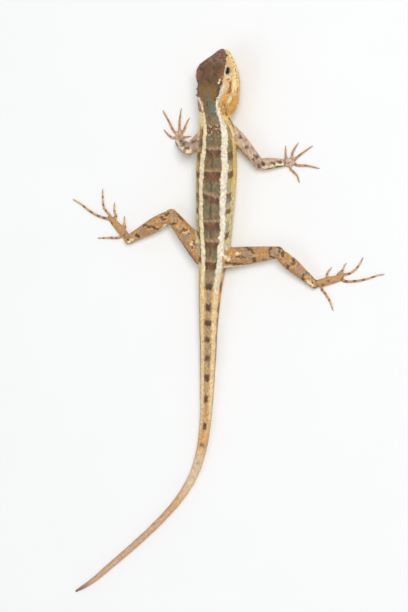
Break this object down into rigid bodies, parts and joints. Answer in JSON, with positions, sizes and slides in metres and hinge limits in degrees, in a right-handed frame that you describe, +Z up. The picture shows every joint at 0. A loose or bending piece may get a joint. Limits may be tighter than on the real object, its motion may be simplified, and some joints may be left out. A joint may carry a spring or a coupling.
{
  "type": "garden lizard",
  "caption": "Still life-size young oriental garden lizard on its belly, legs spread and long tail curved aside, with a low nape crest and pale back stripes",
  "frame": {"origin": "centre of the bounding box's bottom face, on the floor that the belly, tail, hands and feet rest on", "axes": "+Y forward, the way the head faces and along the body, the longest extent; +X to the animal's right; +Z up, the shortest extent"},
  "size_m": [0.1136, 0.191, 0.0154],
  "materials": {
    "neck": "dry keeled scales, satin",
    "torso": "dry keeled scales, satin",
    "head": "dry keeled scales, satin",
    "tail_base": "dry keeled scales, satin",
    "tail_front": "dry keeled scales, satin",
    "tail_middle": "dry keeled scales, satin",
    "tail_rear": "dry keeled scales, satin",
    "tail_tip": "dry keeled scales, satin",
    "upper_arm_left": "dry keeled scales, satin",
    "forearm_left": "dry keeled scales, satin",
    "hand_left": "dry keeled scales, satin",
    "thigh_left": "dry keeled scales, satin",
    "shank_left": "dry keeled scales, satin",
    "foot_left": "dry keeled scales, satin",
    "eye_left": "wet, glossy black",
    "eardrum_left": "smooth pale membrane",
    "upper_arm_right": "dry keeled scales, satin",
    "forearm_right": "dry keeled scales, satin",
    "hand_right": "dry keeled scales, satin",
    "thigh_right": "dry keeled scales, satin",
    "shank_right": "dry keeled scales, satin",
    "foot_right": "dry keeled scales, satin",
    "eye_right": "wet, glossy black",
    "eardrum_right": "smooth pale membrane"
  },
  "bodies": {
    "root": {"neck": "neck", "torso": "torso", "head": "head", "tail_base": "tail_base", "tail_front": "tail_front", "tail_middle": "tail_middle", "tail_rear": "tail_rear", "tail_tip": "tail_tip", "upper_arm_left": "upper_arm_left", "forearm_left": "forearm_left", "hand_left": "hand_left", "thigh_left": "thigh_left", "shank_left": "shank_left", "foot_left": "foot_left", "eye_left": "eye_left", "eardrum_left": "eardrum_left", "upper_arm_right": "upper_arm_right", "forearm_right": "forearm_right", "hand_right": "hand_right", "thigh_right": "thigh_right", "shank_right": "shank_right", "foot_right": "foot_right", "eye_right": "eye_right", "eardrum_right": "eardrum_right"}
  },
  "joints": []
}
